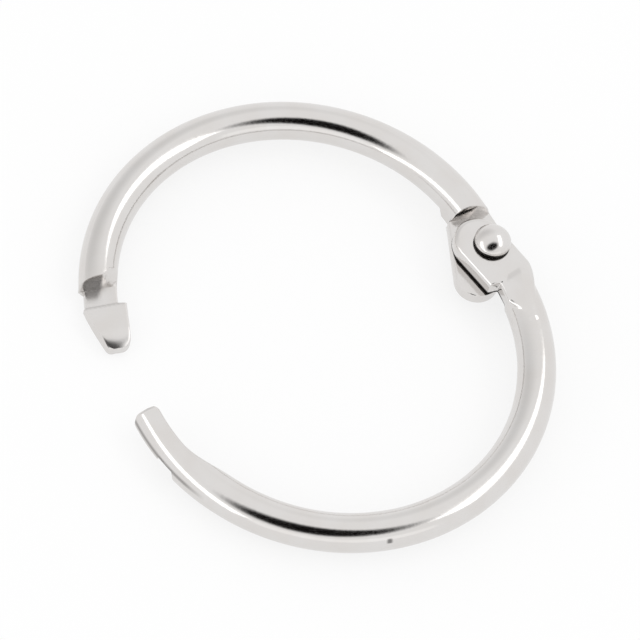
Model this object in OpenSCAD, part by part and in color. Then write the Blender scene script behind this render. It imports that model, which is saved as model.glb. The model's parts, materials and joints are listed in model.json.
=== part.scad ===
// Hinged binder ring of round wire: two half rings on one rivet, drawn lying open.
// Millimetres. The ring lies flat with the rivet's axis along Z and the mouth toward -X.

/* [Ring] */
// Inside diameter of the closed ring
inner_d = 25.4; // [20:0.2:50]
// Diameter of the round wire
wire_d = 2.7; // [2.5:0.05:3.2]

/* [Pose] */
// Angle that the two halves are swung apart
open_angle = 21; // [0:1:60]

/* [Hinge lugs] */
// Width of the lower lug where it leaves the wire
lower_root_w = 3.1; // [2.9:0.05:3.5]
// How far the lower lug's root sits inward of the wire's middle
lower_root_in = 0.1; // [0:0.05:0.2]
// How far from the rivet the lower lug leaves the wire
lower_root_reach = 3.4; // [3:0.1:3.8]
// Radius of the lower lug's round end
lower_end_r = 1.6; // [1.4:0.05:1.9]
// How far the lower lug runs past the rivet
lower_reach = 3.3; // [2.9:0.05:3.6]
// How far the lower lug's end sits inward of the rivet
lower_lean = 1.4; // [0.9:0.05:1.6]
// Radius of the lower lug's edge round the rivet
lower_boss_r = 1.75; // [1.6:0.05:2]
// Width of the upper lug where it leaves the wire
upper_root_w = 3.75; // [3.3:0.05:4]
// How far the upper lug's root sits inward of the wire's middle
upper_root_in = 0.2; // [0:0.05:0.3]
// How far from the rivet the upper lug leaves the wire
upper_root_reach = 3; // [2.7:0.1:3.5]
// Radius of the upper lug's round end
upper_end_r = 1.85; // [1.5:0.05:2.1]
// How far the upper lug runs past the rivet
upper_reach = 2.55; // [2.2:0.05:3]
// How far the upper lug's end sits inward of the rivet
upper_lean = 0.5; // [0:0.05:0.8]
// Length over which a lug runs out into the wire behind its root
lug_run_l = 4; // [2:0.1:6]
// How far the lugs' flat faces sit below the wire's crest
lug_drop = 0.1; // [0.05:0.05:0.3]
// Radius of the lugs' rounded long edges
lug_edge_r = 0.5; // [0.2:0.05:0.8]
// Space between the two lugs' flat faces
lap_gap = 0.06; // [0.04:0.01:0.15]
// Space between a lug's sweep and the shoulder that it passes
shoulder_gap = 0.2; // [0.15:0.05:1]

/* [Rivet] */
// Diameter of the rivet's shank
rivet_d = 1.4; // [1:0.05:1.6]
// Diameter of the rivet's domed heads
rivet_head_d = 2.6; // [2.2:0.05:3]
// Height of a rivet head
rivet_head_h = 1.05; // [0.7:0.05:1.3]
// Height of the straight rim under each dome
head_rim = 0.35; // [0.05:0.05:0.5]
// Radial clearance of the upper lug on the shank
rivet_clearance = 0.04; // [0.02:0.01:0.08]
// Space between the upper lug and the upper head
head_gap = 0.05; // [0.03:0.01:0.1]

/* [Closure] */
// Length of the tongue that each tip carries
tongue_l = 4.8; // [3.5:0.1:6]
// Space left before each tongue's nose when the ring is closed
end_gap = 0.3; // [0.2:0.05:0.6]
// How far the seam's middle sits past the point opposite the rivet
seam_shift = 1.1; // [-1:0.1:1.5]
// Length of the notch behind each hook
notch_l = 1.5; // [1:0.1:2]
// Depth of the notch under the meeting face
notch_depth = 0.35; // [0.2:0.05:0.5]
// How far the notched neck is cut back on its outer side
neck_inset = 0.4; // [0.2:0.05:0.6]
// How far the hook stands out on the ring's inner side
hook_out = 0.65; // [0.2:0.05:0.7]
// How deep the flat on the hook's inner side is cut
hook_flat = 0.1; // [0.05:0.05:0.2]
// How far the hook is cut back on its outer side
hook_inset = 0.25; // [0.1:0.05:0.4]
// How far the hook's inner side falls back toward its nose
hook_taper = 0.4; // [0.1:0.05:0.6]
// Width of the flat across the hook's nose
nose_w = 0.7; // [0.5:0.05:0.9]
// Radius of the nose's corner on the ring's inner side
nose_in_r = 0.6; // [0.4:0.05:0.8]
// Radius of the nose's corner on the ring's outer side
nose_out_r = 0.5; // [0.3:0.05:0.7]
// How far the catch's nose is cut back on the ring's inner side
catch_inset = 0.95; // [0.6:0.05:1.1]
// Radius of the catch nose's corners
catch_corner_r = 0.5; // [0.3:0.05:0.7]

/* [Hidden] */
$fn = 96;

wire_r = wire_d / 2;
ring_r = (inner_d + wire_d) / 2;
swing = open_angle / 2;
lap = lap_gap / 2;
lug_top = wire_r - lug_drop;
hook_l = tongue_l - notch_l;

// How far a straight side is let into the round that it runs on to, so that the two cross cleanly
let_in = 0.02;
// Share of the way to the root at which the wire starts inside its lug
wire_start = 0.8;
// How far the wire is swept past a nose before the nose is trimmed
over_l = 0.25;
// Length of the ledge between the notch and the hook's fuller inner side
hook_rise = 0.1;
// Room beside a lug's plan before the slab that rounds its edges ends
lug_margin = 0.1;
// Share of the crest above a lug's flat to which the lug narrows where it runs out
run_share = 0.8;

// Angle that a length takes along the wire's centreline
function arc_of(l) = l / ring_r * 180 / PI;

// Point where a side from p runs on to the round about c, on the side that the sign names
function touch(p, c, r, side) =
    let (away = p - c, in_r = r - let_in, a = atan2(away.y, away.x) + side * acos(in_r / norm(away)))
    c + in_r * [cos(a), sin(a)];

// Centres of the lugs' round ends, and how far from the rivet each lug sweeps
lower_c = [-lower_lean, lower_end_r - lower_reach];
upper_c = [-upper_lean, upper_end_r - upper_reach];
lower_sweep = norm(lower_c) + lower_end_r;
upper_sweep = norm(upper_c) + upper_end_r;

// Arc angles, from the rivet, where the lugs leave the wire and where the round wire starts.
// The tongue half's shoulder clears the upper lug and the catch half's clears the lower one.
lower_root_a = arc_of(lower_root_reach);
upper_root_a = arc_of(upper_root_reach);
tongue_shoulder_a = arc_of(upper_sweep + shoulder_gap);
catch_shoulder_a = arc_of(lower_sweep + shoulder_gap);

// Arc angles where the round wire stops at the seam, where the hook starts and where the catch ends
lap_l = tongue_l + end_gap;
tongue_seat_a = 180 - arc_of(seam_shift + lap_l / 2);
catch_seat_a = 180 - arc_of(lap_l / 2 - seam_shift);
notch_a = arc_of(notch_l);
hook_a = tongue_seat_a + notch_a;
tongue_nose_a = tongue_seat_a + arc_of(tongue_l);
catch_nose_a = catch_seat_a + arc_of(tongue_l);

// The origin is the middle of the model's box in X and Y, on its underside
x_min = -ring_r * cos(swing) + (ring_r + wire_r) * cos(min(180, catch_nose_a - swing));
lower_corner_x = (ring_r + lower_root_w / 2 - lower_root_in) * cos(lower_root_a - swing);
upper_corner_x = (ring_r + upper_root_w / 2 - upper_root_in) * cos(upper_root_a - swing);
wire_side_x = (ring_r + wire_r) * cos(max(0, wire_start * upper_root_a - swing));
x_max = -ring_r * cos(swing) + max(lower_corner_x, upper_corner_x, wire_side_x);
rivet_pos = [-(x_min + x_max) / 2, 0, lug_top + rivet_head_h];

// Sweeps a profile in (radius, height) along the ring from one arc angle to another
module along_ring(from_a, to_a) {
    translate([-ring_r, 0, 0])
        rotate([0, 0, from_a])
            rotate_extrude(angle = to_a - from_a)
                children();
}

// The wire's own round section, moved "inward" toward the ring's centre
module wire_section(inward = 0) {
    translate([ring_r - inward, 0])
        circle(r = wire_r);
}

// Removes the ring between two arc angles up to a height, leaving what is above it
module cut_below(from_a, to_a, height) {
    along_ring(from_a, to_a)
        translate([ring_r - wire_d, -wire_d])
            square([2 * wire_d, wire_d + height]);
}

// Removes the ring from the rivet to an arc angle above a height
module cut_above(to_a, height) {
    along_ring(0, to_a)
        translate([ring_r - wire_d, height])
            square([2 * wire_d, wire_d]);
}

// Removes the ring between two arc angles on one side of a radius
module cut_side(from_a, to_a, inner, outer) {
    along_ring(from_a, to_a)
        translate([inner, -wire_d])
            square([outer - inner, 2 * wire_d]);
}

// A half's wire, and what is added to it, with both ends lapped: material stays above the meeting face
module lapped_wire(root_a, shoulder_a, seat_a, nose_a) {
    difference() {
        union() {
            along_ring(wire_start * root_a, nose_a + arc_of(over_l))
                wire_section();
            children();
        }
        cut_above((1 + wire_start) / 2 * root_a, lug_top - let_in);
        cut_below(0, shoulder_a, lap);
        cut_below(seat_a, seat_a + notch_a, notch_depth);
        cut_below(seat_a + notch_a / 2, nose_a + notch_a, lap);
    }
}

// Points on both sides of the wire's middle at an arc angle: [outer, inner]
function side_points(at_a, w, inward = 0) =
    let (out = [cos(at_a), sin(at_a)])
    [for (r = [ring_r - inward + w / 2, ring_r - inward - w / 2]) r * out - [ring_r, 0]];

// Where a lug has run out into the wire: [outer, inner]
function run_end(root_a) =
    side_points(root_a + arc_of(lug_run_l), 2 * run_share * sqrt(pow(wire_r, 2) - pow(lug_top, 2)));

// Plan of the upper lug: narrowing from its root to its round end, and the other way into the wire
module upper_plan() {
    root = side_points(upper_root_a, upper_root_w, upper_root_in);
    run = run_end(upper_root_a);
    polygon([root[0], run[0], run[1], root[1], touch(root[1], upper_c, upper_end_r, 1), upper_c,
        touch(root[0], upper_c, upper_end_r, -1)]);
    translate(upper_c)
        circle(r = upper_end_r);
}

// Plan of the lower lug: round the rivet on its outer side, then on to an end that leans inward
module lower_plan() {
    root = side_points(lower_root_a, lower_root_w, lower_root_in);
    run = run_end(lower_root_a);
    side_a = atan2(lower_c.y, lower_c.x) + acos((lower_boss_r - lower_end_r) / norm(lower_c));
    side = [cos(side_a), sin(side_a)];
    polygon([root[0], run[0], run[1], root[1], touch(root[1], lower_c, lower_end_r, 1), lower_c,
        lower_c + (lower_end_r - let_in) * side, (lower_boss_r - let_in) * side, [0, 0],
        touch(root[0], [0, 0], lower_boss_r, -1)]);
    translate(lower_c)
        circle(r = lower_end_r);
    circle(r = lower_boss_r);
}

// Slab above the lap face, running along Y, with its two long upper edges rounded
module lug_slab(left, right) {
    rotate([90, 0, 0])
        linear_extrude(height = 3 * (lower_root_reach + lug_run_l), center = true) {
            translate([left, lap])
                square([right - left, lug_top - lug_edge_r - lap]);
            translate([left + lug_edge_r, lap])
                square([right - left - 2 * lug_edge_r, lug_top - lap]);
            for (x = [left + lug_edge_r, right - lug_edge_r])
                translate([x, lug_top - lug_edge_r])
                    circle(r = lug_edge_r);
        }
}

// Flattens a lug's plan, which reaches from left to right, into the space above the lap face
module lug(left, right) {
    intersection() {
        linear_extrude(height = wire_d)
            children();
        lug_slab(left - lug_margin, right + lug_margin);
    }
}

// Plan of the hook in (radius, run), narrowing on both sides from its heel to a blunt nose
module hook_plan() {
    in_heel = [ring_r - wire_r - hook_out, -hook_l / 2];
    out_heel = [ring_r + wire_r - hook_inset, -hook_l / 2];
    back = [0, -notch_l / 2];
    in_c = [in_heel.x + hook_taper + nose_in_r, hook_l / 2 - nose_in_r];
    out_c = [in_c.x + nose_w, hook_l / 2 - nose_out_r];
    polygon([in_heel, in_heel + back, out_heel + back, out_heel,
        touch(out_heel, out_c, nose_out_r, 1), out_c, [out_c.x, hook_l / 2 - let_in],
        [in_c.x, hook_l / 2 - let_in], in_c, touch(in_heel, in_c, nose_in_r, -1)]);
    translate(in_c)
        circle(r = nose_in_r);
    translate(out_c)
        circle(r = nose_out_r);
}

// Everything beside the hook that its plan leaves out
module hook_trim() {
    translate([-ring_r, 0, 0])
        rotate([0, 0, hook_a + arc_of(hook_l / 2)])
            linear_extrude(height = 2 * wire_d, center = true)
                difference() {
                    translate([ring_r - wire_d, -hook_l / 2 - notch_l / 2])
                        square([2 * wire_d, 2 * hook_l]);
                    hook_plan();
                }
}

// Fills out the hook toward the ring's centre
module hook_fill() {
    along_ring(hook_a + arc_of(hook_rise), tongue_nose_a + arc_of(over_l))
        wire_section(hook_out + hook_flat);
}

// Everything past the catch nose's two rounded corners
module catch_trim() {
    inner = ring_r - wire_r + catch_inset - let_in;
    outer = ring_r + wire_r + let_in;
    translate([-ring_r, 0, 0])
        rotate([0, 0, catch_nose_a])
            linear_extrude(height = 2 * wire_d, center = true)
                difference() {
                    translate([inner - wire_d, -catch_corner_r])
                        square([3 * wire_d, 2 * catch_corner_r]);
                    translate([inner + catch_corner_r, -2 * catch_corner_r])
                        square([outer - inner - 2 * catch_corner_r, 2 * catch_corner_r]);
                    for (x = [inner + catch_corner_r, outer - catch_corner_r])
                        translate([x, -catch_corner_r])
                            circle(r = catch_corner_r);
                }
}

// A button head above Z = 0: a short rim under a dome
module rivet_head() {
    dome_h = rivet_head_h - head_rim;
    dome_r = (pow(rivet_head_d / 2, 2) + pow(dome_h, 2)) / (2 * dome_h);
    cylinder(d = rivet_head_d, h = head_rim);
    intersection() {
        translate([0, 0, rivet_head_h - dome_r])
            sphere(r = dome_r);
        translate([0, 0, head_rim])
            cylinder(d = rivet_head_d, h = dome_h);
    }
}

// The half with the hook: its lug and tongue are the lower side of both laps
module tongue_half() {
    color("gainsboro")
        translate(rivet_pos)
            rotate([0, 0, -swing])
                mirror([0, 0, 1])
                    difference() {
                        union() {
                            lapped_wire(lower_root_a, tongue_shoulder_a, tongue_seat_a, tongue_nose_a)
                                hook_fill();
                            lug(lower_c.x - lower_end_r, lower_boss_r)
                                lower_plan();
                        }
                        cut_side(tongue_seat_a, hook_a, ring_r + wire_r - neck_inset, ring_r + wire_d);
                        hook_trim();
                        cylinder(d = rivet_d, h = 3 * wire_d, center = true);
                    }
}

// The half with the catch: its lug and nose are the upper side of both laps
module catch_half() {
    catch_side = ring_r - wire_r + catch_inset;
    color("gainsboro")
        translate(rivet_pos)
            rotate([0, 0, swing])
                mirror([0, 1, 0])
                    difference() {
                        union() {
                            lapped_wire(upper_root_a, catch_shoulder_a, catch_seat_a, catch_nose_a);
                            lug(upper_c.x - upper_end_r, side_points(upper_root_a, upper_root_w, upper_root_in)[0].x)
                                upper_plan();
                        }
                        cut_side(catch_seat_a, catch_nose_a + notch_a, ring_r - wire_d, catch_side);
                        catch_trim();
                        cylinder(d = rivet_d + 2 * rivet_clearance, h = 3 * wire_d, center = true);
                    }
}

// The rivet: tight in the lower lug, free in the upper one, with a head on each side
module hinge_rivet() {
    color("silver")
        translate(rivet_pos) {
            translate([0, 0, -lug_top])
                cylinder(d = rivet_d, h = 2 * lug_top + head_gap);
            translate([0, 0, lug_top + head_gap])
                rivet_head();
            translate([0, 0, -lug_top])
                mirror([0, 0, 1])
                    rivet_head();
        }
}

tongue_half();
catch_half();
hinge_rivet();
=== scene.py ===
"""Binder ring: two half rings of nickel-plated wire on one rivet, lying open on a pale floor."""

import json
import math

import bpy
import numpy as np
from mathutils import Matrix, Vector


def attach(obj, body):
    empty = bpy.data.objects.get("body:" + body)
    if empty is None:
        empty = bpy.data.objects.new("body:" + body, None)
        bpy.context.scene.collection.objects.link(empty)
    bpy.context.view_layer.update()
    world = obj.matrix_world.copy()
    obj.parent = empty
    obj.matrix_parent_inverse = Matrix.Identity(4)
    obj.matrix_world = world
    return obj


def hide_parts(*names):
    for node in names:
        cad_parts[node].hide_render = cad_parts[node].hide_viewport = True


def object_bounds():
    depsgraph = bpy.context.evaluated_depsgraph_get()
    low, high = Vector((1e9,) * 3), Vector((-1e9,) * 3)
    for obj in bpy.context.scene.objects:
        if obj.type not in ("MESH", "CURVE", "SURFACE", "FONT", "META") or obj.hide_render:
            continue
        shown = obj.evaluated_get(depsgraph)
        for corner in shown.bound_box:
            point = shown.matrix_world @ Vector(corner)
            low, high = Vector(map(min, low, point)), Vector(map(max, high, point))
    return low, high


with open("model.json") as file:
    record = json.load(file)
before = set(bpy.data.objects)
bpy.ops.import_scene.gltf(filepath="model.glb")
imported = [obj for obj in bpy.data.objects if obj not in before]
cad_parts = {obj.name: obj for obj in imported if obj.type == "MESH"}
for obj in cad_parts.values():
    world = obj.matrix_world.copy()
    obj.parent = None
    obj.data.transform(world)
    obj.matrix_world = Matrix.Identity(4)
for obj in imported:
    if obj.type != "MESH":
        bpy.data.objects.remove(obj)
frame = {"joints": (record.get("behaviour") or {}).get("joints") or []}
cad_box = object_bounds()

# ---------------------------------------------------------------- the ring's own sizes, in millimetres
MM = 0.001
INNER_D, WIRE_D = 25.4, 2.7
OPEN_ANGLE = 21
LAP = 0.03

# lugs: flat ends of the wire, one on the other
LUG_TOP = 1.25
LUG_EDGE_R = 0.4
LUG_RUN_L = 4.0
LOWER_ROOT_W, LOWER_ROOT_IN, LOWER_ROOT_REACH = 3.1, 0.1, 3.4
LOWER_END_R, LOWER_REACH, LOWER_LEAN, LOWER_BOSS_R = 1.6, 3.3, 1.4, 1.75
UPPER_ROOT_W, UPPER_ROOT_IN, UPPER_ROOT_REACH = 3.75, 0.2, 3.0
UPPER_END_R, UPPER_REACH, UPPER_LEAN = 1.85, 2.55, 0.5
SHOULDER_GAP, SHOULDER_BACK = 0.2, 0.1
ROOT_CORNER_L = 0.35

# rivet: the rounds are (in from the rim, up from the rim's top or from the head's foot)
RIVET_D, RIVET_HEAD_D, RIVET_HEAD_H, HEAD_RIM, HEAD_GAP = 1.4, 2.6, 1.05, 0.35, 0.05
RIM_ROUND = ((0.035, 0.02), (0.01, -0.03), (0.0, -0.08))
FOOT_ROUND = ((0.0, 0.04), (0.02, 0.01), (0.06, 0.0))
SHANK_ROUND = 0.08
SHANK_INSET = 0.1
DOME_SHARE = 0.93

# mouth: a hooked tongue below, the catch's nose above
TONGUE_L, END_GAP, SEAM_SHIFT = 4.8, 0.3, 1.1
NOTCH_L, NOTCH_DEPTH, NECK_INSET = 1.5, 0.35, 0.4
HOOK_OUT, HOOK_FLAT, HOOK_INSET, HOOK_TAPER = 0.65, 0.1, 0.25, 0.4
HOOK_RISE_L, HOOK_LEAST_T, HOOK_LEAST_RUN = 0.12, 0.3, 0.3
NOSE_W, NOSE_IN_R, NOSE_OUT_R = 0.7, 0.6, 0.5
NOSE_FALL_L, NOSE_FALL, NOSE_CROWN = 1.3, 0.22, 0.5
CATCH_INSET, CATCH_CORNER_R = 0.95, 0.5
CATCH_LEAD, CATCH_TRAIL, CATCH_LAG = 3.6, 1.4, 0.1
SEAT_RAMP, SEAT_RAMP_IN, SEAT_RAMP_POWER = 0.16, 0.9, 1.5
SEAT_SLOPE_FROM, SEAT_SLOPE_TO = 0.15, 0.6
SEAT_FADE_L = 0.05
LAP_EDGE, TIP_EDGE_R, TIP_EDGE_LEAD = 0.09, 0.25, 0.2

WIRE_R = WIRE_D / 2
RING_R = (INNER_D + WIRE_D) / 2
SWING = math.radians(OPEN_ANGLE / 2)
HUB = Vector(frame["joints"][0]["pos_m"])
RING_C = np.array([-RING_R, 0.0])

LAP_L = TONGUE_L + END_GAP
TONGUE_SEAT = math.pi * RING_R - (SEAM_SHIFT + LAP_L / 2)
CATCH_SEAT = math.pi * RING_R - (LAP_L / 2 - SEAM_SHIFT)
HOOK = TONGUE_SEAT + NOTCH_L
HOOK_L = TONGUE_L - NOTCH_L
HOOK_A = (HOOK + HOOK_L / 2) / RING_R
TONGUE_NOSE = TONGUE_SEAT + TONGUE_L
CATCH_NOSE = CATCH_SEAT + TONGUE_L

LOWER_C = np.array([-LOWER_LEAN, LOWER_END_R - LOWER_REACH])
UPPER_C = np.array([-UPPER_LEAN, UPPER_END_R - UPPER_REACH])
TONGUE_SHOULDER = np.hypot(*UPPER_C) + UPPER_END_R + SHOULDER_GAP
CATCH_SHOULDER = np.hypot(*LOWER_C) + LOWER_END_R + SHOULDER_GAP


# ---------------------------------------------------------------- plan outlines
ROUND_POINTS, SIDE_POINTS, CORNER_POINTS = 96, 60, 17


def turned(points, angle):
    """Points of a plan, turned anticlockwise about the origin."""
    c, s = math.cos(angle), math.sin(angle)
    return np.asarray(points) @ np.array([[c, s], [-s, c]])


def round_about(centre, r):
    """Points of a circle in plan."""
    t = np.linspace(0, 2 * math.pi, ROUND_POINTS, endpoint=False)
    return np.array(centre) + r * np.stack([np.cos(t), np.sin(t)], 1)


def wrap(points):
    """The outline of a string drawn tight round the points, anticlockwise."""
    pts = sorted(map(tuple, points))
    sides = []
    for order in (pts, pts[::-1]):
        side = []
        for p in order:
            while len(side) > 1:
                (ax, ay), (bx, by) = side[-2:]
                if (bx - ax) * (p[1] - ay) - (by - ay) * (p[0] - ax) > 1e-12:
                    break
                side.pop()
            side.append(p)
        sides.append(side[:-1])
    return np.array(sides[0] + sides[1])


def along(s, out=0.0):
    """Point of the ring's centreline at arc length s from the rivet, or beside it."""
    a = s / RING_R
    return RING_C + (RING_R + out) * np.array([math.cos(a), math.sin(a)])


def root_sides(reach, width, inward):
    """The two corners where a lug meets its wire."""
    return [along(reach, width / 2 - inward), along(reach, -width / 2 - inward)]


def hook_frame(points):
    """Points in (radius, run) of the hook, laid in the half's own plan."""
    return RING_C + turned(points, HOOK_A)


lower_root = root_sides(LOWER_ROOT_REACH, LOWER_ROOT_W, LOWER_ROOT_IN)
upper_root = root_sides(UPPER_ROOT_REACH, UPPER_ROOT_W, UPPER_ROOT_IN)
lower_plan = wrap(np.vstack([lower_root, round_about(LOWER_C, LOWER_END_R),
                             round_about((0, 0), LOWER_BOSS_R)]))
upper_plan = wrap(np.vstack([upper_root, round_about(UPPER_C, UPPER_END_R)]))
hook_in = RING_R - WIRE_R - HOOK_OUT
hook_far = RING_R + WIRE_R - HOOK_INSET
nose_c = hook_in + HOOK_TAPER + NOSE_IN_R
hook_plan = wrap(hook_frame(np.vstack([
    [[hook_in, -HOOK_L], [hook_far, -HOOK_L], [hook_far, -HOOK_L / 2], [hook_in, -HOOK_L / 2]],
    round_about((nose_c, HOOK_L / 2 - NOSE_IN_R), NOSE_IN_R),
    round_about((nose_c + NOSE_W, HOOK_L / 2 - NOSE_OUT_R), NOSE_OUT_R)])))


def ease(x, a, b):
    """0 before a, 1 after b, smooth between."""
    t = np.clip((x - a) / (b - a), 0, 1)
    return t * t * (3 - 2 * t)


def catch_outline():
    """The catch's nose: the wire narrowed on its inner side, with two rounded corners."""
    side_in, side_out = CATCH_INSET - WIRE_R, WIRE_R
    start, corner = CATCH_SEAT - CATCH_LEAD, CATCH_NOSE - CATCH_CORNER_R
    pts = [along(s, side_out) for s in np.linspace(start, corner, SIDE_POINTS)]
    for out, t0 in ((side_out - CATCH_CORNER_R, 0.0), (side_in + CATCH_CORNER_R, math.pi / 2)):
        for t in np.linspace(t0, t0 + math.pi / 2, CORNER_POINTS)[1:-1]:
            pts.append(along(corner + CATCH_CORNER_R * math.sin(t), out + CATCH_CORNER_R * math.cos(t)))
    for s in np.linspace(corner, start, SIDE_POINTS):
        pts.append(along(s, side_in - CATCH_INSET * (1 - ease(s, start, CATCH_SEAT + CATCH_TRAIL))))
    return np.array(pts)


catch_plan = catch_outline()


def span(p, d, outline):
    """How far a line through p along d reaches inside an outline: (least, most)."""
    a, b = outline, np.roll(outline, -1, 0)
    n = np.array([-d[1], d[0]])
    ha, hb = (a - p) @ n, (b - p) @ n
    cross = (ha > 0) != (hb > 0)
    t = ha[cross] / (ha[cross] - hb[cross])
    u = ((a[cross] + t[:, None] * (b[cross] - a[cross])) - p) @ d
    return u.min(), u.max()


def inset(points, outline, open_side=()):
    """How far each point lies from an outline, apart from the side between two of its corners."""
    at_corner = np.array([any(np.allclose(p, c, atol=1e-6) for c in open_side) for p in outline])
    kept = ~(at_corner & np.roll(at_corner, -1))
    a = outline[kept][None]
    ab = np.roll(outline, -1, 0)[kept][None] - a
    ap = points[:, None] - a
    t = np.clip((ap * ab).sum(2) / ((ab * ab).sum(2) + 1e-15), 0, 1)
    return np.linalg.norm(ap - t[..., None] * ab, axis=2).min(1)


def larger(a, b, soft):
    """The larger of two values, rounded over where they cross."""
    return np.maximum(a, b) + np.maximum(soft - np.abs(a - b), 0) ** 2 / (4 * soft + 1e-9)


def rounded(depth, r):
    """Height lost near an edge that is rounded to radius r."""
    near = np.clip(r - depth, 0, r)
    return r - np.sqrt(r * r - near * near)


def wall(s, at, length):
    """The rise of a wall, from 0 at its foot to 1: steep, then rounding over."""
    return float(1 - (1 - np.clip((s - at) / length, 0, 1)) ** 3)


def nose_fall(xy):
    """How far the hook's upper face has fallen away toward its nose, most at its sides."""
    radius, run = turned(xy - RING_C, -HOOK_A).T
    side = radius - nose_c - NOSE_W / 2
    nose = np.maximum(0, run - HOOK_L / 2 + NOSE_FALL_L)
    return NOSE_FALL * nose ** 2 * (1 + NOSE_CROWN * side ** 2)


# ---------------------------------------------------------------- the skin of a half ring
# points over the top and under the lap face of a cut, and round each lap edge
OVER, UNDER = 61, 31
EDGE_TILTS = np.radians([3, 6, 9])
EDGE_IN = np.array([0.0, 0.3, 1.0]) * LAP_EDGE
# where the cuts turn from square to radial behind the shoulder, and to the tip's own angle before the seat
ROOT_TURN_FROM, ROOT_TURN_TO = 0.4, 3.2
TIP_TURN_FROM, TIP_TURN_TO = 2.4, 0.1
# how softly the lug runs out into the wire: at its outer side, over its top and to the wire's crest
SIDE_BLEND, SIDE_BLEND_L, SIDE_BLEND_END = 0.25, 1.0, 2.5
TOP_BLEND, TOP_BLEND_L = 0.3, 0.6
CREST_SHARE, CREST_RUN_L, EDGE_FALL = 0.8, 1.5, 4
# the shoulder's wall and the notch's far wall
SHOULDER_WALL_L, NOTCH_WALL_L, NOTCH_WALL_LEAD = 0.16, 0.05, 0.03
# spacing of the cuts: rounded ends, lug, run-out, wire, lap, the seat's slope and walls
END_CUTS, FIRST_CUT, LAST_CUT, LUG_END_L, NOSE_END_L = 26, 0.004, 0.002, 1.6, 1.0
LUG_STEP, RUN_OUT_STEP, WIRE_STEP, LAP_STEP, SLOPE_STEP = 0.12, 0.06, 0.3, 0.1, 0.04
LUG_CUTS_END, RUN_OUT_CUTS, LAP_CUTS = 1.2, 1.3, 0.5
WALL_CUTS, LEAST_STEP, ROOT_LEAD, ROOT_SIDE = 16, 0.0015, 0.001, 1e-4
HALVINGS = 40
# sewing and shading of the meshes
MERGE_WITHIN = 2e-7
WIRE_CREASE, RIVET_CREASE = math.radians(32), math.radians(40)
DOME_POINTS, SHANK_POINTS, RIVET_SPINS = 22, 9, 96


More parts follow.
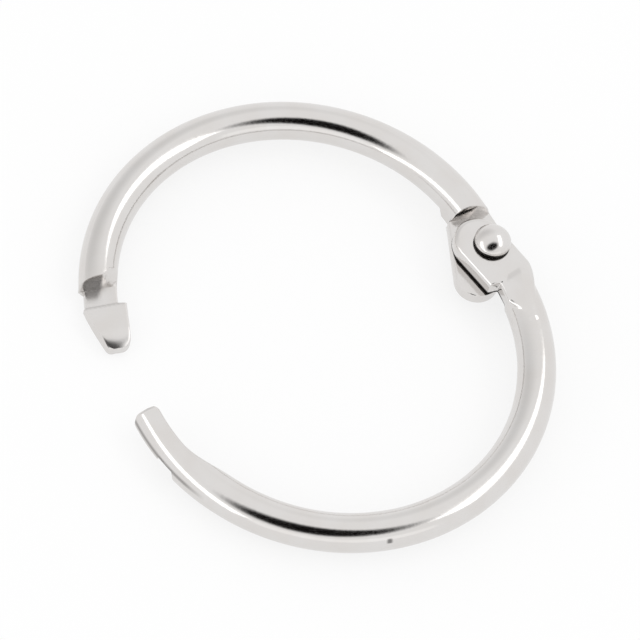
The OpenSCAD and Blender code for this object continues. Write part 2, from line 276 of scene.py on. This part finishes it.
class Half:
    """One half in its closed place: rivet at the origin, material above the lap face.

    s is the arc length from the rivet to a cut, p and d are the cut's middle and its direction
    away from the ring's centre, and u is how far a point of the cut lies from p along d.
    """

    def __init__(self, lug_outline, root_corners, shoulder, seat, nose, tip_outline, hooked):
        self.lug_outline, self.root_corners = lug_outline, root_corners
        self.root = self.arc_of_height(min(y for x, y in root_corners)) - ROOT_LEAD
        self.shoulder, self.seat, self.nose = shoulder, seat, nose
        self.tip_outline, self.hooked = tip_outline, hooked
        self.tip_a = HOOK_A if hooked else nose / RING_R

    @staticmethod
    def arc_of_height(h):
        """Arc length whose square cut lies at height h in plan."""
        return RING_R * math.asin(h / RING_R)

    def line(self, s):
        """Middle and direction of the cut across the half at arc length s."""
        a = s / RING_R
        turn = a * ease(s, self.shoulder + ROOT_TURN_FROM, self.shoulder + ROOT_TURN_TO)
        turn += (self.tip_a - a) * ease(s, self.seat - TIP_TURN_FROM, self.seat - TIP_TURN_TO)
        return along(s), np.array([math.cos(turn), math.sin(turn)])

    def slab(self, s, p, d):
        """Inner and outer side of the lug's flat slab, which runs out into the wire behind its root."""
        if s <= self.root:
            return np.array(span(p, d, self.lug_outline))
        wide = np.array(span(*self.line(self.root - ROOT_SIDE), self.lug_outline))
        crest = CREST_SHARE * math.sqrt(WIRE_R ** 2 - LUG_TOP ** 2)
        return wide + (np.array([-crest, crest]) - wide) * ease(s, self.root, self.root + LUG_RUN_L)

    def wire_span(self, p, d):
        """Where the cut leaves the wire's own band."""
        rel = p - RING_C
        b = rel @ d
        ends = []
        for edge_r in (RING_R - WIRE_R, RING_R + WIRE_R):
            c = rel @ rel - edge_r * edge_r
            root = math.sqrt(max(0.0, b * b - c))
            ends.append(min((-b + root, -b - root), key=abs))
        return ends

    def reach(self, s, p, d):
        """Inner and outer end of the cut."""
        if s <= self.root:
            return self.slab(s, p, d)
        wire = np.array(self.wire_span(p, d))
        if s < self.root + LUG_RUN_L:
            lug = self.slab(s, p, d)
            soft = SIDE_BLEND * ease(s, self.root, self.root + SIDE_BLEND_L)
            soft *= ease(-s, -self.root - LUG_RUN_L, -self.root - SIDE_BLEND_END)
            inner = min(lug[0], wire[0])
            inner += (wire[0] - inner) * ease(s, self.root, self.root + ROOT_CORNER_L)
            return np.array([inner, larger(lug[1], wire[1], soft)])
        if self.hooked and s > self.seat:
            tip = np.array(span(p, d, self.tip_outline))
            neck = np.array([wire[0], min(wire[1], WIRE_R - NECK_INSET)])
            tip = neck + (tip - neck) * ease(s, HOOK, HOOK + HOOK_RISE_L)
            return wire + (tip - wire) * ease(s, self.seat, self.seat + SEAT_FADE_L)
        if not self.hooked and s > self.seat - CATCH_LEAD + CATCH_LAG:
            return np.array(span(p, d, self.tip_outline))
        return wire

    def upper_side(self, s, p, d, u, lo):
        """Height of the round side, which is the lug's flat top near the rivet."""
        xy = p + u[:, None] * d
        if s <= self.root:
            return LUG_TOP - rounded(inset(xy, self.lug_outline, self.root_corners), LUG_EDGE_R)
        off = np.linalg.norm(xy - RING_C, axis=1) - RING_R
        wire = np.sqrt(np.clip(WIRE_R ** 2 - off ** 2, 0, None))
        if s < self.root + LUG_RUN_L:
            left, right = self.slab(s, p, d)
            edge = np.minimum(u - max(left, lo), right - u)
            flat = LUG_TOP - rounded(edge, LUG_EDGE_R) + EDGE_FALL * np.minimum(edge, 0)
            crest = LUG_TOP + (WIRE_R - LUG_TOP) * ease(s, self.root, self.root + CREST_RUN_L)
            soft = TOP_BLEND * ease(s, self.root, self.root + TOP_BLEND_L)
            return larger(flat, np.minimum(wire, crest), soft)
        if not self.hooked and s > self.seat - CATCH_LEAD:
            lost = rounded(np.minimum(u - lo, self.nose - s), TIP_EDGE_R)
            return wire - lost * ease(s, self.seat - CATCH_LEAD, self.seat)
        if self.hooked and s > HOOK - TIP_EDGE_LEAD:
            # the hook's fuller inner side
            fill = np.sqrt(np.clip(WIRE_R ** 2 - (off + HOOK_OUT + HOOK_FLAT) ** 2, 0, None))
            fuller = wire + (np.maximum(wire, fill) - wire) * ease(s, HOOK, HOOK + HOOK_RISE_L)
            lost = rounded(inset(xy, self.tip_outline), TIP_EDGE_R)
            return fuller - lost * ease(s, HOOK - TIP_EDGE_LEAD, HOOK)
        return wire

    def lap_face(self, s, xy):
        """Height of the face on the lap side: flat in the laps, deeper in the notch, falling at the nose."""
        face = np.full(len(xy), LAP)
        if s > self.seat - SEAT_RAMP_IN:
            past_notch = wall(s, self.seat + NOTCH_L - NOTCH_WALL_LEAD, NOTCH_WALL_L)
            face += (NOTCH_DEPTH - LAP) * (1 - past_notch)
        if self.hooked and s > HOOK:
            face += nose_fall(xy)
        return face

    def lapped(self, s, u):
        """1 where the lap side is cut flat, 0 where round: the tongue's seat slopes on its inner half."""
        sloped = ease(-u, SEAT_SLOPE_FROM, SEAT_SLOPE_TO) if self.hooked else 0 * u
        ramp = SEAT_RAMP + (SEAT_RAMP_IN - SEAT_RAMP) * sloped
        seat = np.clip((s - self.seat) / ramp + 1, 0, 1) ** SEAT_RAMP_POWER
        return np.maximum(1 - wall(s, self.shoulder + SHOULDER_BACK, SHOULDER_WALL_L), seat)

    def cut(self, s):
        """The closed section at arc length s, in millimetres."""
        p, d = self.line(s)
        lo, hi = self.reach(s, p, d)
        u = (lo + hi) / 2 + (hi - lo) / 2 * np.cos(np.linspace(0, math.pi, OVER))
        over = self.upper_side(s, p, d, u, lo)
        flat_u = lo + LAP_EDGE + (hi - lo - 2 * LAP_EDGE) * np.linspace(0, 1, UNDER + 2)[1:-1]
        flat_z = self.lap_face(s, p + flat_u[:, None] * d)
        end_z = self.lap_face(s, p + np.array([[lo], [hi]]) * d)
        if self.hooked and s > HOOK:
            least = HOOK_LEAST_T * ease(s, HOOK, HOOK + HOOK_LEAST_RUN)
            over = np.maximum(over, np.interp(u, flat_u, flat_z) + least)
        over = np.maximum(over, (np.interp(u, (lo, hi), end_z) + LAP_EDGE) * self.lapped(s, u))
        # the lap side: points round each edge, then the face itself, each between round and flat
        narrowed = not self.hooked and s > self.seat - CATCH_LEAD
        wire_lo, wire_hi = (lo, hi) if narrowed else self.wire_span(p, d)
        mid, half_w = (wire_lo + wire_hi) / 2, (wire_hi - wire_lo) / 2
        edges = []
        for sign, end, low in ((-1, lo, end_z[0]), (1, hi, end_z[1])):
            near = np.column_stack([end - sign * EDGE_IN, low + EDGE_IN[::-1]])
            far = np.column_stack([mid + sign * half_w * np.cos(EDGE_TILTS), -WIRE_R * np.sin(EDGE_TILTS)])
            edges.append(far + (near - far) * self.lapped(s, end))
        t = np.linspace(math.pi + EDGE_TILTS[-1], 2 * math.pi - EDGE_TILTS[-1], UNDER + 2)[1:-1]
        far = np.column_stack([mid + half_w * np.cos(t), WIRE_R * np.sin(t)])
        under = far + (np.column_stack([flat_u, flat_z]) - far) * self.lapped(s, flat_u)[:, None]
        uz = np.vstack([np.column_stack([u, over]), edges[0], under, edges[1][::-1]])
        return np.column_stack([p + uz[:, :1] * d, uz[:, 1]])

    def stations(self):
        """Where the half is cut: close together at its ends and steps."""
        quarter = np.linspace(0, math.pi / 2, END_CUTS)
        first = self.lug_outline[:, 1].min() + FIRST_CUT
        s = [self.arc_of_height(first + (LUG_END_L - FIRST_CUT) * (1 - math.cos(t))) for t in quarter]
        run_out_end, lap_start = self.root + LUG_RUN_L, self.seat - LAP_CUTS
        s += list(np.arange(s[-1] + LUG_STEP, self.root + LUG_CUTS_END, LUG_STEP))
        s += list(np.arange(self.root + RUN_OUT_CUTS, run_out_end, RUN_OUT_STEP))
        s += list(np.arange(run_out_end, lap_start, WIRE_STEP))
        s += list(np.arange(lap_start, self.nose - NOSE_END_L, LAP_STEP))
        s += list(np.arange(self.seat - SEAT_RAMP_IN, self.seat - SEAT_RAMP, SLOPE_STEP))
        for at, lead, trail in ((self.shoulder, 0.1, 0.3), (self.root, 0.15, 0.45),
                                (self.seat, SEAT_RAMP, 0.06), (self.seat + NOTCH_L, 0.15, 0.25)):
            s += list(np.linspace(at - lead, at + trail, WALL_CUTS))
        s += [self.nose_reach() - NOSE_END_L * (1 - math.sin(t)) for t in quarter]
        s += [self.root - ROOT_SIDE, self.root + ROOT_SIDE]
        s = sorted(s)
        kept = s[:1]
        for at in s[1:]:
            if at - kept[-1] > LEAST_STEP:
                kept.append(at)
        return kept

    def nose_reach(self):
        """Last arc length at which the cut still meets the tip."""
        inside, beyond = self.nose - NOSE_END_L, self.nose + 1.5 * NOSE_END_L
        for _ in range(HALVINGS):
            middle = (inside + beyond) / 2
            p, d = self.line(middle)
            if ((self.tip_outline - p) @ np.array([-d[1], d[0]])).max() > LAST_CUT:
                inside = middle
            else:
                beyond = middle
        return inside


tongue = Half(lower_plan, lower_root, TONGUE_SHOULDER, TONGUE_SEAT, TONGUE_NOSE, hook_plan, hooked=True)
catch = Half(upper_plan, upper_root, CATCH_SHOULDER, CATCH_SEAT, CATCH_NOSE, catch_plan, hooked=False)


def opened(point, swing):
    """A point of a half's plan, in metres and in the half's open place."""
    return HUB + Vector((*turned(point, swing), 0)) * MM


def placed(half, swing, mirror):
    """A half's cuts, mirrored, swung open and set on the rivet, in metres."""
    cuts = []
    for at in half.stations():
        x, y, z = (half.cut(at) * mirror).T
        cuts.append(np.column_stack([turned(np.column_stack([x, y]), swing), z]) * MM + np.array(HUB))
    return cuts


def deselect():
    """Leaves edit mode and selects nothing."""
    if bpy.context.mode != "OBJECT":
        bpy.ops.object.mode_set(mode="OBJECT")
    bpy.ops.object.select_all(action="DESELECT")


def skin(name, cuts):
    """A sheet rolled round the cuts, sewn along its side and closed at both ends."""
    deselect()
    rows, cols = len(cuts), len(cuts[0])
    bpy.ops.mesh.primitive_grid_add(x_subdivisions=cols, y_subdivisions=rows - 1, size=2, location=(0, 0, 0))
    piece = bpy.context.object
    piece.name = piece.data.name = name
    co = np.zeros(len(piece.data.vertices) * 3)
    piece.data.vertices.foreach_get("co", co)
    co = co.reshape(-1, 3)
    col = np.rint((co[:, 0] + 1) / 2 * cols).astype(int) % cols
    row = np.rint((co[:, 1] + 1) / 2 * (rows - 1)).astype(int)
    piece.data.vertices.foreach_set("co", np.array(cuts)[row, col].ravel())
    bpy.ops.object.mode_set(mode="EDIT")
    bpy.ops.mesh.select_all(action="SELECT")
    bpy.ops.mesh.remove_doubles(threshold=MERGE_WITHIN)
    bpy.ops.mesh.select_all(action="DESELECT")
    bpy.ops.mesh.select_mode(type="EDGE")
    bpy.ops.mesh.select_non_manifold()
    bpy.ops.mesh.fill_holes(sides=0)
    bpy.ops.mesh.select_all(action="SELECT")
    bpy.ops.mesh.normals_make_consistent(inside=False)
    bpy.ops.object.mode_set(mode="OBJECT")
    bpy.ops.object.shade_smooth_by_angle(angle=WIRE_CREASE)
    return piece


# ---------------------------------------------------------------- the rivet
def head_profile():
    """A domed head from its crown to the shank, as (radius, height above its foot)."""
    head_r, shank_r = RIVET_HEAD_D / 2, RIVET_D / 2
    dome_h = RIVET_HEAD_H - HEAD_RIM
    dome_r = (head_r ** 2 + dome_h ** 2) / (2 * dome_h)
    most = math.asin(head_r / dome_r)
    head = [(dome_r * math.sin(t), HEAD_RIM + dome_r * (math.cos(t) - math.cos(most)))
            for t in np.linspace(0, most * DOME_SHARE, DOME_POINTS)]
    head += [(head_r - back, HEAD_RIM + z) for back, z in RIM_ROUND]
    head += [(head_r - back, z) for back, z in FOOT_ROUND]
    return head + [(shank_r + SHANK_ROUND, 0.0), (shank_r, 0.0)]


def rivet():
    """A shank with a domed head on each side, turned from one profile."""
    deselect()
    head, foot = head_profile(), LUG_TOP + HEAD_GAP
    profile = [(r, foot + z) for r, z in head]
    shank = np.linspace(foot - SHANK_INSET, -LUG_TOP + SHANK_INSET, SHANK_POINTS)
    profile += [(RIVET_D / 2, z) for z in shank]
    profile += [(r, -LUG_TOP - z) for r, z in head[::-1]]
    last = len(profile) - 1
    bpy.ops.mesh.primitive_grid_add(x_subdivisions=last, y_subdivisions=1, size=2, location=(0, 0, 0))
    piece = bpy.context.object
    piece.name = piece.data.name = "domed_rivet"
    bpy.ops.object.mode_set(mode="EDIT")
    bpy.ops.mesh.select_mode(type="VERT")
    bpy.ops.mesh.select_all(action="DESELECT")
    bpy.ops.object.mode_set(mode="OBJECT")
    for v in piece.data.vertices:
        v.select = v.co.y > 0
    bpy.ops.object.mode_set(mode="EDIT")
    bpy.ops.mesh.delete(type="VERT")
    bpy.ops.object.mode_set(mode="OBJECT")
    for v in piece.data.vertices:
        r, z = profile[round((v.co.x + 1) / 2 * last)]
        v.co = (HUB.x + r * MM, HUB.y, HUB.z + z * MM)
    bpy.ops.object.mode_set(mode="EDIT")
    bpy.ops.mesh.select_all(action="SELECT")
    bpy.ops.mesh.spin(steps=RIVET_SPINS, angle=2 * math.pi, center=HUB, axis=(0, 0, 1))
    bpy.ops.mesh.select_all(action="SELECT")
    bpy.ops.mesh.remove_doubles(threshold=MERGE_WITHIN)
    bpy.ops.mesh.normals_make_consistent(inside=False)
    bpy.ops.object.mode_set(mode="OBJECT")
    bpy.ops.object.shade_smooth_by_angle(angle=RIVET_CREASE)
    return piece


# ---------------------------------------------------------------- shader nodes
def feed(tree, made, inputs):
    """Gives a node its inputs, each a value or another node's output."""
    for name, value in inputs.items():
        if isinstance(value, bpy.types.NodeSocket):
            tree.links.new(value, made.inputs[name])
        else:
            made.inputs[name].default_value = value
    return made


def add(tree, kind, inputs, **settings):
    """A new shader node with its settings and inputs."""
    made = tree.nodes.new("ShaderNode" + kind)
    for name, value in settings.items():
        setattr(made, name, value)
    return feed(tree, made, inputs)


def maths(tree, operation, a, b):
    """One operation on two values."""
    return add(tree, "Math", {0: a, 1: b}, operation=operation).outputs[0]


def new_group(name, inputs, outputs):
    """An empty node group: its tree, the sockets it is given, and the node that takes its results."""
    tree = bpy.data.node_groups.new(name, "ShaderNodeTree")
    for direction, sockets in (("INPUT", inputs), ("OUTPUT", outputs)):
        for label, kind in sockets.items():
            tree.interface.new_socket(label, in_out=direction, socket_type="NodeSocket" + kind)
    return tree, tree.nodes.new("NodeGroupInput").outputs, tree.nodes.new("NodeGroupOutput")


def new_material(name):
    """A new material, its node tree and its shader."""
    material = bpy.data.materials.new(name)
    material.use_nodes = True
    return material, material.node_tree, material.node_tree.nodes["Principled BSDF"]


# ---------------------------------------------------------------- plating
COOL_NICKEL, WARM_NICKEL = (0.72, 0.703, 0.69, 1), (0.67, 0.637, 0.61, 1)
# dark colour of the bands: painted shade in gaps, creases and under the rivet head, a painted dark
# reflection, and one dark speck
DARK_GREASE_AND_SHADE = (0.02, 0.017, 0.015, 1)
PRESSED_ROUGHNESS, GREASE_AND_SHADE_ROUGHNESS = 0.24, 0.55
RIPPLE_HEIGHT = 0.00002


def plating_group():
    """Slight unevenness of bright plating: where it is duller, where it is warmer, and its faint ripple."""
    tree, given, results = new_group("plating_unevenness",
                                     {"Scale": "Float", "Dullness": "Float", "Warmth": "Float"},
                                     {"Color": "Color", "Roughness": "Float", "Height": "Float"})
    place = add(tree, "TexCoord", {}).outputs["Object"]
    size = add(tree, "VectorMath", {0: place, "Scale": given["Scale"]}, operation="SCALE").outputs[0]
    broad = add(tree, "TexNoise", {"Vector": size, "Scale": 0.45, "Detail": 3}).outputs["Fac"]
    fine = add(tree, "TexNoise", {"Vector": size, "Scale": 5.0, "Detail": 6,
                                  "Roughness": 0.6}).outputs["Fac"]
    tone = add(tree, "MapRange", {"Value": broad, "From Min": 0.35, "From Max": 0.7}).outputs[0]
    warm = maths(tree, "MULTIPLY", tone, given["Warmth"])
    color = add(tree, "Mix", {"Factor": warm, "A": COOL_NICKEL, "B": WARM_NICKEL}, data_type="RGBA")
    dull = add(tree, "MapRange", {"Value": fine, "From Min": 0.3, "From Max": 0.75,
                                  "To Min": 0.6, "To Max": 1.5}).outputs[0]
    feed(tree, results, {"Color": color.outputs["Result"],
                         "Roughness": maths(tree, "MULTIPLY", dull, given["Dullness"]),
                         "Height": maths(tree, "ADD", broad, fine)})
    return tree


def band_group():
    """How far a place is in a level band round one middle: between two heights, and fading at its reach."""
    tree, given, results = new_group("level_band",
                                     {"Middle": "Vector", "Reach": "Float", "Reach Fade": "Float",
                                      "Low": "Float", "Low Fade": "Float",
                                      "High": "Float", "High Fade": "Float", "Depth": "Float"},
                                     {"Mask": "Float"})

    def below(value, limit, fade):
        """1 where the value is under the limit, fading to 0 over a little."""
        return add(tree, "Clamp", {"Value": maths(tree, "DIVIDE", maths(tree, "SUBTRACT", limit, value),
                                                  given[fade])}).outputs[0]

    place = add(tree, "TexCoord", {}).outputs["Object"]
    off = add(tree, "VectorMath", {0: place, 1: given["Middle"]}, operation="SUBTRACT").outputs[0]
    x, y, z = add(tree, "SeparateXYZ", {"Vector": off}).outputs
    level = add(tree, "CombineXYZ", {"X": x, "Y": y}).outputs[0]
    radius = add(tree, "VectorMath", {0: level}, operation="LENGTH").outputs["Value"]
    near = below(radius, given["Reach"], "Reach Fade")
    between = maths(tree, "MULTIPLY", below(z, given["High"], "High Fade"),
                    below(given["Low"], z, "Low Fade"))
    band = maths(tree, "MULTIPLY", near, between)
    feed(tree, results, {"Mask": maths(tree, "MULTIPLY", band, given["Depth"])})
    return tree


PLATING = plating_group()
BAND = band_group()


def level_band(middle, reach, low, high, depth=1.0):
    """What one band is given: its reach, low and high, each as (value, fade) in millimetres."""
    given = {"Middle": middle, "Depth": depth}
    for name, (value, fade) in (("Reach", reach), ("Low", low), ("High", high)):
        given[name] = value * MM
        given[name + " Fade"] = fade * MM
    return given


def nickel(name, dullness, warmth, ripple, grease_and_shade=(), pressed=()):
    """Bright plating, with dark bands of painted shade, painted reflection and a dark speck, and bands where
    pressing has left it satin.
    """
    material, tree, shader = new_material(name)
    plating = add(tree, "Group", {"Scale": 1 / MM, "Dullness": dullness, "Warmth": warmth},
                  node_tree=PLATING).outputs
    bump = add(tree, "Bump", {"Strength": ripple, "Distance": RIPPLE_HEIGHT, "Height": plating["Height"]})
    color, rough = plating["Color"], plating["Roughness"]
    # the dark bands paint shade and a dark reflection into the plating's colour, apart from one dark speck
    for bands, roughness, tint in ((pressed, PRESSED_ROUGHNESS, None),
                                   (grease_and_shade, GREASE_AND_SHADE_ROUGHNESS, DARK_GREASE_AND_SHADE)):
        for band in bands:
            mask = add(tree, "Group", band, node_tree=BAND).outputs["Mask"]
            rough = add(tree, "Mix", {"Factor": mask, "A": rough, "B": roughness},
                        data_type="FLOAT").outputs["Result"]
            if tint:
                color = add(tree, "Mix", {"Factor": mask, "A": color, "B": tint},
                            data_type="RGBA").outputs["Result"]
    feed(tree, shader, {"Base Color": color, "Roughness": rough, "Metallic": 1.0,
                        "Normal": bump.outputs["Normal"]})
    return material


# ---------------------------------------------------------------- the pieces
FOOT_LINE_BANDS = 9
SPECK_AT, SPECK_OUT = 28.4, 1.17

tongue_piece = skin("tongue_half_wire", placed(tongue, -SWING, (1, 1, -1)))
catch_piece = skin("catch_half_wire", placed(catch, SWING, (1, -1, 1)))
rivet_piece = rivet()

# satin where the hook was pressed, and a line of painted shade in the crease along its foot
hook_middle = opened(along(TONGUE_SEAT + TONGUE_L / 2), -SWING)
pressed_hook = level_band(hook_middle, reach=(3.4, 0.8), low=(-2.0, 0.1), high=(2.0, 0.1))
foot_radii = np.linspace(hook_in + 0.3, hook_far - 0.2, FOOT_LINE_BANDS)
hook_foot_painted_shade = [level_band(opened(spot, -SWING), reach=(0.26, 0.2), low=(-0.5, 0.05),
                             high=(0.06, 0.05), depth=0.24)
                  for spot in hook_frame([(radius, -HOOK_L / 2) for radius in foot_radii])]
# painted shade in the gap between the lugs, a soft painted dark reflection along the catch's nose and one
# dark speck on the catch half's flank
lug_gap_painted_shade = level_band(HUB, reach=(4.6, 0.8), low=(-0.02, 0.01), high=(0.3, 0.08))
# a painted dark reflection along the catch's nose
nose_painted_reflection = level_band(opened(along(-CATCH_NOSE), SWING), reach=(TONGUE_L + 2.6, 1.6), low=(0.2, 0.15),
                       high=(0.6, 0.15), depth=0.5)
flank_speck = level_band(opened(along(-SPECK_AT, SPECK_OUT), SWING), reach=(0.26, 0.16),
                         low=(0.5, 0.1), high=(0.9, 0.1), depth=0.7)
# painted shade in the crevice under the rivet's upper head
head_painted_shade = level_band(HUB, reach=(RIVET_HEAD_D / 2 + 0.06, 0.04), low=(LUG_TOP - 0.05, 0.02),
                         high=(LUG_TOP + 0.33, 0.05))

tongue_nickel = nickel("bright_nickel_tongue_half", dullness=0.13, warmth=0.5, ripple=0.12,
                       grease_and_shade=hook_foot_painted_shade, pressed=[pressed_hook])
catch_nickel = nickel("bright_nickel_catch_half", dullness=0.13, warmth=0.5, ripple=0.12,
                      grease_and_shade=[lug_gap_painted_shade, nose_painted_reflection, flank_speck])
rivet_nickel = nickel("bright_nickel_rivet", dullness=0.16, warmth=0.7, ripple=0.15, grease_and_shade=[head_painted_shade])
for piece, body, node, slot, finish in (
        (tongue_piece, "tongue_side", "tongue_half", "plated_wire", tongue_nickel),
        (catch_piece, "catch_side", "catch_half", "plated_wire", catch_nickel),
        (rivet_piece, "tongue_side", "hinge_rivet", "plated_rivet", rivet_nickel)):
    piece.data.materials.append(finish)
    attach(piece, body)
    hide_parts(node)

# ---------------------------------------------------------------- camera
SENSOR_W = 36
HALF_VIEW_DEG = 4.7
# the camera looks down on the ring's middle from the mouth's side; LEVEL runs level across its view
EYE = HUB + Vector((-108.2, -102.6, 229.3)) * MM
AIM = Vector(((cad_box[0].x + cad_box[1].x) / 2, (cad_box[0].y + cad_box[1].y) / 2, HUB.z))
LEVEL = Vector((0.921, -0.388, -0.031))

look = (AIM - EYE).normalized()
right = (LEVEL - look * LEVEL.dot(look)).normalized()
up = right.cross(look)
scene = bpy.context.scene
scene.view_settings.view_transform = "Standard"
camera = bpy.data.objects.new("camera", bpy.data.cameras.new("camera"))
scene.collection.objects.link(camera)
camera.matrix_world = Matrix.Translation(EYE) @ Matrix((right, up, -look)).transposed().to_4x4()
camera.data.sensor_width = SENSOR_W
camera.data.lens = SENSOR_W / (2 * math.tan(math.radians(HALF_VIEW_DEG)))
camera.data.clip_start, camera.data.clip_end = 0.01, 10
scene.camera = camera

# ---------------------------------------------------------------- floor
FLOOR_GREY = (0.9, 0.9, 0.9, 1)
FLOOR_WHITE_SHARE = 0.75
FLOOR_DROP = 0.00002
MOUTH_SIDE = -0.005


def white_to_the_eye(tree, lit, share):
    """Mixes plain white into a surface for the camera and for reflections; the floor keeps its shadow."""
    path = add(tree, "LightPath", {}).outputs
    seen = maths(tree, "MAXIMUM", path["Is Camera Ray"], path["Is Glossy Ray"])
    seen = maths(tree, "MAXIMUM", seen, path["Is Transmission Ray"])
    white = add(tree, "Emission", {"Color": (1, 1, 1, 1), "Strength": 1.0}).outputs[0]
    return add(tree, "MixShader", {"Fac": maths(tree, "MULTIPLY", seen, share), 1: lit, 2: white}).outputs[0]


def floor_matt():
    """A pale matt floor."""
    material, tree, shader = new_material("pale_floor_matt")
    feed(tree, shader, {"Base Color": FLOOR_GREY, "Roughness": 0.9, "Specular IOR Level": 0.0})
    surface = white_to_the_eye(tree, shader.outputs[0], FLOOR_WHITE_SHARE)
    feed(tree, tree.nodes["Material Output"], {"Surface": surface})
    return material


def floor_lean():
    """The angle at which the ring rests on its rivet and on the lowest of its two wires."""
    points = [v.co for piece in (tongue_piece, catch_piece) for v in piece.data.vertices]
    return min(math.atan2(co.z, HUB.x - co.x) for co in points if co.x < MOUTH_SIDE)


def pale_floor():
    """A large plane just under the ring, tilted as the ring rests."""
    deselect()
    bpy.ops.mesh.primitive_plane_add(size=3, location=(0, 0, 0))
    floor = bpy.context.object
    floor.name = "pale_floor"
    bpy.ops.object.mode_set(mode="EDIT")
    bpy.ops.mesh.subdivide(number_cuts=3)
    bpy.ops.object.mode_set(mode="OBJECT")
    floor.data.transform(Matrix.Translation((HUB.x, 0, -FLOOR_DROP)) @ Matrix.Rotation(floor_lean(), 4, "Y"))
    floor.data.materials.append(floor_matt())


pale_floor()

# ---------------------------------------------------------------- light
CARD_BLACK = (0.006, 0.005, 0.005, 1)

world = bpy.data.worlds.new("soft_studio")
scene.world = world
world.use_nodes = True
feed(world.node_tree, world.node_tree.nodes["Background"], {"Color": (1, 1, 1, 1), "Strength": 1.0})


def seen_from_ring(right_deg, up_deg, distance):
    """A place beside the line from the ring to the camera, by angles to the right and up."""
    turn, tip = math.radians(right_deg), math.radians(up_deg)
    away = math.hypot(turn, tip)
    side = (right * turn + up * tip) / away
    return AIM + (side * math.sin(away) - look * math.cos(away)) * distance


def facing(place, roll_deg):
    """Turned with its face to the ring, its long side rolled from the camera's level."""
    z = (place - AIM).normalized()
    x = (right - z * right.dot(z)).normalized()
    y = z.cross(x)
    c, s = math.cos(math.radians(roll_deg)), math.sin(math.radians(roll_deg))
    return Matrix.Translation(place) @ Matrix((x * c + y * s, y * c - x * s, z)).transposed().to_4x4()


def half_size(degrees, distance):
    """Half the size of something that takes up an angle on each side of its middle."""
    return distance * math.tan(math.radians(degrees))


def soft_box(name, right_deg, up_deg, wide_deg, high_deg, roll_deg, level, distance=0.7):
    """A lamp that the plating shows as a bright streak."""
    lamp = bpy.data.lights.new(name, "AREA")
    lamp.shape = "RECTANGLE"
    lamp.size = 2 * half_size(wide_deg, distance)
    lamp.size_y = 2 * half_size(high_deg, distance)
    lamp.energy = level * math.pi * lamp.size * lamp.size_y
    box = bpy.data.objects.new(name, lamp)
    scene.collection.objects.link(box)
    box.matrix_world = facing(seen_from_ring(right_deg, up_deg, distance), roll_deg)
    box.visible_camera = False


def card_black(name, depth, fade_out):
    """Black that fades out toward the card's rim."""
    material, tree, shader = new_material(name)
    place = add(tree, "TexCoord", {}).outputs["Object"]
    middle = add(tree, "TexGradient", {"Vector": place}, gradient_type="SPHERICAL").outputs["Fac"]
    fade = add(tree, "MapRange", {"Value": middle, "From Min": 0.0, "From Max": fade_out, "To Max": depth},
               interpolation_type="SMOOTHSTEP").outputs["Result"]
    feed(tree, shader, {"Base Color": CARD_BLACK, "Roughness": 1.0, "Specular IOR Level": 0.0,
                        "Alpha": fade})
    return material


def dark_card(name, right_deg, up_deg, wide_deg, high_deg, roll_deg, depth, fade_out, distance=0.55):
    """A dark oval, fading out toward its rim and seen by the plating alone."""
    deselect()
    bpy.ops.mesh.primitive_circle_add(vertices=64, radius=1, fill_type="NGON", location=(0, 0, 0))
    card = bpy.context.object
    card.name = name
    size = Matrix.Diagonal((half_size(wide_deg, distance), half_size(high_deg, distance), 1, 1))
    card.matrix_world = facing(seen_from_ring(right_deg, up_deg, distance), roll_deg) @ size
    card.data.materials.append(card_black(name, depth, fade_out))
    card.visible_camera = False
    card.visible_diffuse = False
    card.visible_shadow = False


# the light comes from all round; three soft boxes and two dark cards give the plating its lines
soft_box("right_soft_box", right_deg=49, up_deg=27, wide_deg=9, high_deg=26, roll_deg=20, level=0.9)
soft_box("left_soft_box", right_deg=-46, up_deg=-10, wide_deg=8, high_deg=30, roll_deg=23, level=0.9)
soft_box("front_soft_box", right_deg=12, up_deg=-45, wide_deg=36, high_deg=9, roll_deg=0, level=0.14)
dark_card("camera_flag", right_deg=6, up_deg=-4, wide_deg=38, high_deg=25, roll_deg=25,
          depth=1.0, fade_out=0.5)
dark_card("back_flag", right_deg=-40, up_deg=72, wide_deg=55, high_deg=36, roll_deg=0,
          depth=0.22, fade_out=1.0)
